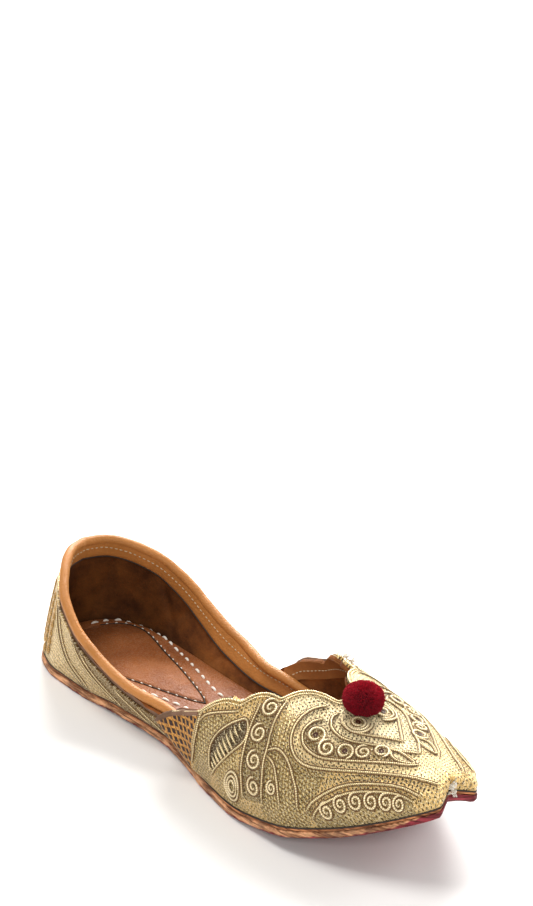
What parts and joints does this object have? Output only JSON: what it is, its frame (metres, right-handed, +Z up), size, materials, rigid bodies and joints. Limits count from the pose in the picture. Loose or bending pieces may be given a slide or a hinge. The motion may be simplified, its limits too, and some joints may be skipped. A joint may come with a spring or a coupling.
{
  "type": "mojari slip-on shoe",
  "caption": "Flat leather slip-on shoe with a scalloped embroidered vamp, low open sides, a rolled collar, an upturned cleft toe and a wool pompom.",
  "frame": {"origin": "bottom centre of the bounding box, on the floor the sole stands on", "axes": "+X to the toe, +Y to the left side of the shoe, +Z up"},
  "size_m": [0.2486, 0.0884, 0.0638],
  "materials": {
    "outsole": "tan-brown vegetable-tanned leather, cut edge, burgundy painted underside",
    "midsole": "thin reddish-brown leather layer",
    "insole": "soft brown lining leather",
    "insole_band": "pebbled reddish-brown leather",
    "heel_pad": "padded reddish-brown leather, light gloss",
    "upper": "soft brown leather, suede side in",
    "vamp_cover": "gold metallic-thread embroidery on leather",
    "weave_panel": "orange-gold woven strip with dark gaps",
    "quarter_cover": "gold metallic-thread embroidery on leather",
    "collar_binding": "smooth orange-tan binding leather",
    "pompom": "trimmed burgundy wool"
  },
  "bodies": {
    "root": {"outsole": "outsole", "midsole": "midsole", "insole": "insole", "insole_band": "insole_band", "heel_pad": "heel_pad", "upper": "upper", "vamp_cover": "vamp_cover", "weave_panel_left": "weave_panel", "weave_panel_right": "weave_panel", "quarter_cover": "quarter_cover", "collar_binding": "collar_binding", "pompom": "pompom"}
  },
  "joints": []
}
